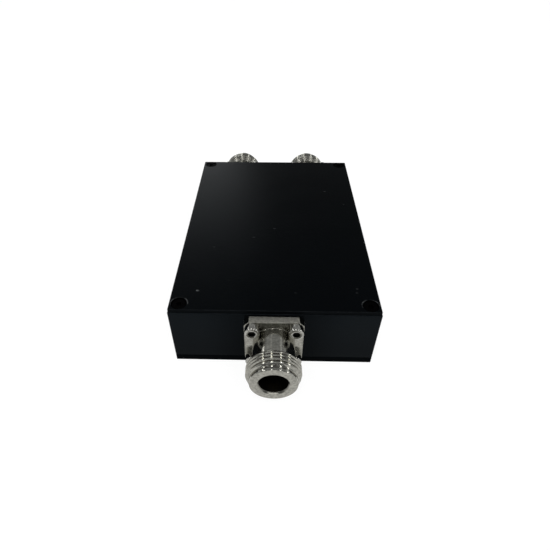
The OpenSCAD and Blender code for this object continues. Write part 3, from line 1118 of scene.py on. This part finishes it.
    def flange(self) -> Surface:
        """The flange: four mirrored quarters of its two faces, its rounded rim and its four screw holes.

        Along the rim, the outline goes in by the edge's rounding times one less the sine of an angle, and
        down by the rounding times one less its cosine.

        Returns:
            The patch in the connector's own axes.
        """
        front = self.quarter_face(self.neck_r + self.neck_fillet, self.flange_t)
        rear = self.quarter_face(self.bead_r, 0.0)
        hole_points = len(front.points) // self.face_rows
        hole = Surface.over(np.stack([rear.points[:hole_points], front.points[:hole_points]]))
        turn = np.linspace(0, math.pi / 2, self.edge_steps + 1)
        inset = self.flange_edge * (1 - np.sin(turn))
        inset = np.concatenate([inset, inset[::-1]])
        drop = self.flange_edge * (1 - np.cos(turn))
        heights = np.concatenate([self.flange_t - drop, drop[::-1]])
        loops = np.stack([self.rim_outline(i) for i in inset])
        levels = np.broadcast_to(heights[:, None, None], (*loops.shape[:2], 1))
        straight = loops.min(axis=-1) < self.flange_w / 2 - self.flange_crop
        grid = np.concatenate([loops, levels], axis=-1)
        rim = Surface.over(grid, wrap=False, satin=self.rim_satin * straight)
        quarter = front + replace(rear, faces=rear.faces[:, ::-1]) + rim + hole
        whole = quarter
        for signs in ((-1, 1), (-1, -1), (1, -1)):
            whole = whole + quarter.mirrored(signs)
        return whole

    def build(self, nickel: bpy.types.Material) -> bpy.types.Object:
        """Makes the connector's shell in place of its node.

        Args:
            nickel: Its finish.

        Returns:
            The piece.
        """
        piece = make_piece(self.port.prefix + "_connector", self.placed(self.barrel() + self.flange()))
        piece.data.materials.append(nickel)
        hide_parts(self.port.prefix + "_shell")
        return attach(piece, BODY)

    def dress(self, bead: bpy.types.Material, gilt: bpy.types.Material) -> None:
        """Gives the insulator and the contact inside their finishes.

        Args:
            bead: Finish of the insulator.
            gilt: Finish of the contact.
        """
        dress_node(self.port.prefix + "_insulator", bead)
        dress_node(self.port.prefix + "_contact", gilt)


@dataclass
class CapScrews:
    """The four socket-head screws of one flange.

    Lengths are in metres. Heights count from the seat of the head.

    Attributes:
        connector: The connector that they hold.
        shank_r: Radius of the shank.
        shank_l: Length of the shank.
        shank_bevel: Bevel of its tip.
        shank_rounding: Rounding of its edges.
        head_r: Radius of the head.
        head_h: Height of the head.
        head_rounding: Rounding of the head's upper edge.
        seat_rounding: Rounding of its lower edge.
        hex_flats: Distance between two flats of the socket.
        hex_depth: Depth of the socket.
        hex_bevel: Bevel of its mouth.
        hex_shade: How much painted shade the socket has.
        drill_depth: Depth of the drilled point below its floor.
        columns: Number of points round the axis.
        rounding_steps: Number of pieces in each rounding.
    """

    connector: Connector
    shank_r: float = 1.25 * MM
    shank_l: float = 7.5 * MM
    shank_bevel: float = 0.25 * MM
    shank_rounding: float = 0.02 * MM
    head_r: float = 2.2 * MM
    head_h: float = 2.5 * MM
    head_rounding: float = 0.45 * MM
    seat_rounding: float = 0.1 * MM
    hex_flats: float = 2.0 * MM
    hex_depth: float = 1.3 * MM
    hex_bevel: float = 0.12 * MM
    hex_shade: float = 0.9
    drill_depth: float = 0.35 * MM
    columns: int = 72
    rounding_steps: int = 6

    def screw(self) -> Surface:
        """One screw from the tip of its shank over the head down into its hexagon socket.

        Each row outside is a circle through a point of the rounded outline. Inside it is a hexagon, whose
        radius is half the flats divided by the cosine of the angle from the nearest flat's middle. The last
        row is the drilled point.

        Returns:
            The patch round the Z axis, with the head's seat at nought.
        """
        outside = np.array([
            [0, -self.shank_l],
            [self.shank_r - self.shank_bevel, -self.shank_l],
            [self.shank_r, self.shank_bevel - self.shank_l],
            [self.shank_r, 0],
            [self.head_r, 0],
            [self.head_r, self.head_h],
            [self.hex_flats / math.sqrt(3) + self.hex_bevel, self.head_h],
        ])
        shank = [self.shank_rounding] * 4
        radii = np.array([*shank, self.seat_rounding, self.head_rounding, 0])
        outside = rounded_outline(outside, radii, self.rounding_steps)
        mouth = self.head_h - self.hex_bevel
        floor = self.head_h - self.hex_depth
        inside_z = np.array([mouth, floor, floor - self.drill_depth])
        flat_angle = circle_angles(self.columns) % (math.pi / 3) - math.pi / 6
        hexagon = self.hex_flats / 2 / np.cos(flat_angle)
        inside = np.stack([hexagon, hexagon, np.zeros(self.columns)])
        radius = np.concatenate([outside[:, :1] * np.ones(self.columns), inside])
        # Painted shade in the hexagon socket
        recess = np.concatenate([np.zeros(len(outside)), np.full(len(inside), self.hex_shade)])
        return turned(radius, np.concatenate([outside[:, 1], inside_z]), recess)

    def build(self, bright: bpy.types.Material) -> bpy.types.Object:
        """Makes the four screws in place of their node.

        Args:
            bright: Their finish.

        Returns:
            The piece.
        """
        half = self.connector.screw_pitch / 2
        screw = self.screw()
        places = [np.array([x * half, y * half, self.connector.flange_t]) for x in (-1, 1) for y in (-1, 1)]
        whole = screw.moved(places[0])
        for place in places[1:]:
            whole = whole + screw.moved(place)
        prefix = self.connector.port.prefix
        piece = make_piece(prefix + "_cap_screws", self.connector.placed(whole))
        piece.data.materials.append(bright)
        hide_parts(prefix + "_flange_screws")
        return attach(piece, BODY)


def dress_node(name: str, material: bpy.types.Material) -> None:
    """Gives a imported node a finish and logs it.

    Args:
        name: Name of the node.
        material: Its finish.
    """
    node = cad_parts[name]
    node.data.materials.clear()
    node.data.materials.append(material)
    log.info("dressed %s with %s", name, material.name)


# Studio


@dataclass(frozen=True)
class Panel:
    """A flat soft light.

    Attributes:
        name: Name of the lamp.
        place: Its middle, in metres.
        aim: The point that it faces.
        size: Width and height, in metres.
        radiance: Brightness of its surface, where 1 is white.
        along: The way that its width runs, before it is squared up with the aim.
        mirrored: Whether bright metal shows it.
    """

    name: str
    place: Triple
    aim: Triple
    size: Pair
    radiance: float
    along: Triple = (1, 0, 0)
    mirrored: bool = True

    def build(self) -> bpy.types.Object:
        """Adds the lamp, with its brightness times pi times its area as its power.

        Returns:
            The lamp.
        """
        lamp = bpy.data.lights.new(self.name, "AREA")
        lamp.shape = "RECTANGLE"
        lamp.size, lamp.size_y = self.size
        lamp.energy = self.radiance * math.pi * self.size[0] * self.size[1]
        made = bpy.data.objects.new(self.name, lamp)
        back = (Vector(self.place) - Vector(self.aim)).normalized()
        across = back.cross(Vector(self.along)).normalized()
        turn = Matrix((across.cross(back), across, back)).transposed().to_4x4()
        made.matrix_world = Matrix.Translation(self.place) @ turn
        made.visible_camera = False
        made.visible_glossy = self.mirrored
        bpy.context.scene.collection.objects.link(made)
        return made


@dataclass(frozen=True)
class Strip:
    """A long narrow lamp overhead, from front to back, with a rear stretch that leans out further.

    Attributes:
        name: First part of its lamps' names.
        lean: How far it leans to the side, in degrees from straight up.
        rear_lean: The same at its rear end.
        rear_radiance: Brightness of its rear stretch.
        radiance: Brightness of the rest.
        stations: Where it starts in front, where its rear stretch starts and where that ends, in metres.
        distance: Its distance from the line through the object from front to back, in metres.
        width: Its width, in metres.
    """

    name: str
    lean: float
    rear_lean: float
    rear_radiance: float
    radiance: float = 6.0
    stations: tuple[float, float, float] = (-0.6, 0.3, 0.9)
    distance: float = 1.0
    width: float = 0.075

    def point(self, lean: float, station: float) -> Vector:
        """The point of the strip at a station, where it leans by an angle in degrees."""
        angle = math.radians(lean)
        return Vector((self.distance * math.sin(angle), station, self.distance * math.cos(angle)))

    def build(self) -> None:
        """Adds both stretches as flat lamps.

        Each one faces the nearest point of the line through the origin that runs the same way.
        """
        front, step, rear = self.stations
        bend = self.point(self.lean, step)
        stretches = (
            (self.point(self.lean, front), bend, self.radiance),
            (bend, self.point(self.rear_lean, rear), self.rear_radiance),
        )
        for number, (start, end, radiance) in enumerate(stretches):
            along = end - start
            place = (start + end) / 2
            aim = place.project(along)
            size = (along.length, self.width)
            Panel(f"{self.name}_{number}", tuple(place), tuple(aim), size, radiance, tuple(along)).build()


@dataclass(frozen=True)
class Room:
    """A soft grey room that lights the object from all sides.

    It is lighter behind the object and on both sides. Low down behind, it is dimmer up to a place on the
    right, with a glow on the left and a lighter band along the horizon. Each pair of directions is one part
    of the unit vector that points away from the object, at both ends of a soft change.

    Attributes:
        tint: Its colour.
        level: Brightness behind the object.
        front: Brightness overhead and in front.
        dark_side: Brightness low down behind.
        horizon: What the band along the horizon has on top.
        sides: What both sides have on top.
        glow: What the glow has on top.
        rise_y: Y between which the front becomes the rear.
        behind_y: Y between which the low part, the glow and the band set in.
        low_z: Z between which the low part and the glow end.
        band_z: Z between which the band ends.
        dark_x: X between which the dim part ends on the right.
        side_x: X between which the sides set in, to the left and to the right.
        glow_left: X between which the glow sets in.
        glow_right: X between which it ends, at the horizon.
        slant: How much further to the right it ends for each step up.
    """

    tint: Colour = (0.97, 0.99, 1.0)
    level: float = 0.30
    front: float = 0.20
    dark_side: float = 0.19
    horizon: float = 0.13
    sides: float = 0.3
    glow: float = 2.65
    rise_y: Pair = (0.2, 0.5)
    behind_y: Pair = (0.35, 0.6)
    low_z: Pair = (0.42, 0.69)
    band_z: Pair = (0.36, 0.46)
    dark_x: Pair = (0.3, 0.55)
    side_x: Pair = (0.65, 0.9)
    glow_left: Pair = (-0.5, -0.3)
    glow_right: Pair = (-0.185, -0.125)
    slant: float = 0.2

    def build(self) -> None:
        """Makes the world's light: the level with the glow, the band and the sides, less the dim part."""
        world = bpy.data.worlds.new("room")
        bpy.context.scene.world = world
        world.use_nodes = True
        wires = Wiring(world.node_tree)
        x, y, z = wires.node("SeparateXYZ", {0: wires.place()}).outputs[:3]
        behind = wires.spread(y, self.behind_y, (0, 1))
        low = wires.math("MULTIPLY", behind, wires.spread(z, self.low_z, (1, 0)))
        slanted = wires.math("MULTIPLY_ADD", z, -self.slant, x)
        light = wires.math("MULTIPLY", low, wires.spread(slanted, self.glow_right, (self.glow, 0)))
        light = wires.math("MULTIPLY", light, wires.spread(x, self.glow_left, (0, 1)))
        shade = wires.math("MULTIPLY", low, wires.spread(x, self.dark_x, (1, 0)))
        shade = wires.math("MULTIPLY", shade, self.level - self.dark_side)
        level = wires.spread(y, self.rise_y, (self.front, self.level))
        band = wires.math("MULTIPLY", behind, wires.spread(z, self.band_z, (self.horizon, 0)))
        walls = wires.spread(wires.math("ABSOLUTE", x), self.side_x, (0, self.sides))
        added = wires.math("ADD", wires.math("ADD", light, band), walls)
        strength = wires.math("SUBTRACT", wires.math("ADD", added, level), shade)
        grey = wires.node("Background", {"Color": (*self.tint, 1), "Strength": strength})
        wires.node("OutputWorld", {"Surface": grey.outputs[0]})


@dataclass
class Studio:
    """Plain pale floor and soft lamps in a dim room.

    Attributes:
        floor_half: Half the side of the floor, in metres.
        floor_drop: How far the floor lies below the object, in metres.
        floor_colour: Colour that the floor lights the object with.
        floor_seen: Its own white where it is seen, and its share of the lamps' light, which shows shadows.
        floor_mirrored: The same two, where the object mirrors it.
        room: The room.
        strips: The strip lamps overhead.
        panels: A soft fill and a low panel in front, and two narrow cards low down behind, on both sides.
    """

    floor_half: float = 3.0
    floor_drop: float = 0.05 * MM
    floor_colour: Colour = (0.82, 0.82, 0.82)
    floor_seen: Pair = (0.89, 0.14)
    floor_mirrored: Pair = (0.68, 0.10)
    room: Room = Room()
    strips: tuple[Strip, ...] = (
        Strip("left_strip", lean=-41.0, rear_lean=-63.0, rear_radiance=2.6),
        Strip("middle_strip", lean=-8.0, rear_lean=-15.0, rear_radiance=0.22),
        Strip("right_strip", lean=28.0, rear_lean=41.0, rear_radiance=0.45),
        Strip("far_right_strip", lean=61.0, rear_lean=74.0, rear_radiance=1.5, radiance=5.5),
    )
    panels: tuple[Panel, ...] = (
        Panel("fill", (0, -1.2, 1.6), aim=(0, -0.1, 0), size=(2.6, 1.6), radiance=2.2, mirrored=False),
        Panel("front", (0.1, -1.25, 0.72), aim=(0, 0, 0), size=(1.4, 0.24), radiance=1.8),
        Panel("left_card", (-0.8, 0.62, 0.13), aim=(0, -0.05, 0.02), size=(0.14, 0.2), radiance=1.6),
        Panel("right_card", (0.72, 0.70, 0.15), aim=(0, -0.05, 0.02), size=(0.10, 0.26), radiance=0.7),
    )

    def build_floor(self) -> None:
        """Adds the floor, nearly white to the camera and in bright metal, which keeps the object's shadow."""
        half = self.floor_half
        corners = np.array([[-half, -half], [-half, half], [half, -half], [half, half]]).reshape(2, 2, 2)
        grid = np.concatenate([corners, np.full((2, 2, 1), -self.floor_drop)], axis=-1)
        surface = Surface.over(grid, wrap=False)
        mesh = bpy.data.meshes.new("floor")
        mesh.from_pydata(surface.points.tolist(), [], surface.faces.tolist())
        floor = bpy.data.objects.new("floor", mesh)
        bpy.context.scene.collection.objects.link(floor)
        material = bpy.data.materials.new("pale_floor")
        material.use_nodes = True
        wires = Wiring(material.node_tree)
        path = wires.node("LightPath").outputs
        mirrored = wires.math("MAXIMUM", path["Is Glossy Ray"], path["Is Transmission Ray"])
        looks = [wires.node("BsdfDiffuse", {"Color": (*self.floor_colour, 1)}).outputs[0]]
        views = ((mirrored, self.floor_mirrored), (path["Is Camera Ray"], self.floor_seen))
        for seen, (white, shade) in views:
            lit = wires.node("BsdfDiffuse", {"Color": (shade, shade, shade, 1)})
            glow = wires.node("Emission", {"Color": (1, 1, 1, 1), "Strength": white})
            both = wires.node("AddShader", {0: lit.outputs[0], 1: glow.outputs[0]})
            mixed = wires.node("MixShader", {0: seen, 1: looks[-1], 2: both.outputs[0]})
            looks.append(mixed.outputs[0])
        wires.node("OutputMaterial", {"Surface": looks[-1]})
        mesh.materials.append(material)

    def build(self) -> None:
        """Builds the floor, the room and the lamps."""
        self.build_floor()
        self.room.build()
        for lamp in (*self.strips, *self.panels):
            lamp.build()


@dataclass(frozen=True)
class PhotoCamera:
    """The camera at the photograph's viewing angle, in a square frame.

    Attributes:
        place: Its place in the row frame, in metres.
        pitch: Angle below the horizon, in radians.
        yaw: Turn to the right, in radians.
        roll: Turn about the view axis, in radians.
        focal_px: Focal length in pixels.
        middle_px: Where the view axis meets the image, in pixels.
        sensor: Width of the sensor, in millimetres.
        nearest: Distance from which on it sees, in metres.
    """

    place: Triple = (-1.32663 * MM, -130.05384 * MM, 110.66338 * MM)
    pitch: float = 0.74678
    yaw: float = -0.03183
    roll: float = 0.00798
    focal_px: float = 427.04964
    middle_px: Pair = (260.07527, 286.18247)
    sensor: float = 36.0
    nearest: float = 5 * MM

    def axes(self) -> tuple[Vector, Vector, Vector]:
        """The camera's own axes, worked out from its three angles.

        Returns:
            Right, down and forward.
        """
        ahead = Vector((
            math.sin(self.yaw) * math.cos(self.pitch),
            math.cos(self.yaw) * math.cos(self.pitch),
            -math.sin(self.pitch),
        ))
        level = Vector((math.cos(self.yaw), -math.sin(self.yaw), 0))
        below = ahead.cross(level)
        right = math.cos(self.roll) * level + math.sin(self.roll) * below
        down = math.cos(self.roll) * below - math.sin(self.roll) * level
        return right, down, ahead

    def build(self) -> bpy.types.Object:
        """Adds the camera and makes it the scene's own.

        Returns:
            The camera.
        """
        data = bpy.data.cameras.new("photo_camera")
        data.sensor_width = self.sensor
        data.lens = self.focal_px / IMAGE_SIDE_PX * self.sensor
        data.shift_x = (IMAGE_SIDE_PX / 2 - self.middle_px[0]) / IMAGE_SIDE_PX
        data.shift_y = (self.middle_px[1] - IMAGE_SIDE_PX / 2) / IMAGE_SIDE_PX
        data.clip_start = self.nearest
        right, down, ahead = self.axes()
        made = bpy.data.objects.new("photo_camera", data)
        turn = Matrix((right, -down, -ahead)).transposed().to_4x4()
        made.matrix_world = Matrix.Translation(self.place) @ turn
        bpy.context.scene.collection.objects.link(made)
        bpy.context.scene.camera = made
        return made


def main() -> None:
    """Builds the studio and dresses the object, one sub-assembly after the other."""
    logging.basicConfig(level=logging.INFO, format="%(name)s: %(message)s")
    bpy.context.scene.view_settings.view_transform = "Standard"
    PhotoCamera().build()
    Studio().build()
    nickel = Plated("bright_nickel", colour=(0.445, 0.437, 0.390), roughness=(0.07, 0.12)).material()
    bright = Plated("bright_zinc", colour=(0.50, 0.492, 0.454), roughness=(0.08, 0.14)).material()
    bead = Moulded("fluoropolymer", colour=(0.8, 0.8, 0.77), mottle=(0.74, 0.74, 0.7)).material()
    gilt = Plated("gold_flash", colour=(0.42, 0.30, 0.12), roughness=(0.3, 0.4)).material()
    Housing().dress()
    for port in Port:
        connector = Connector(port)
        log.info("built %s", connector.build(nickel).name)
        connector.dress(bead, gilt)
        log.info("built %s", CapScrews(connector).build(bright).name)
    Circuit().dress(bright)


if __name__ == "__main__":
    main()
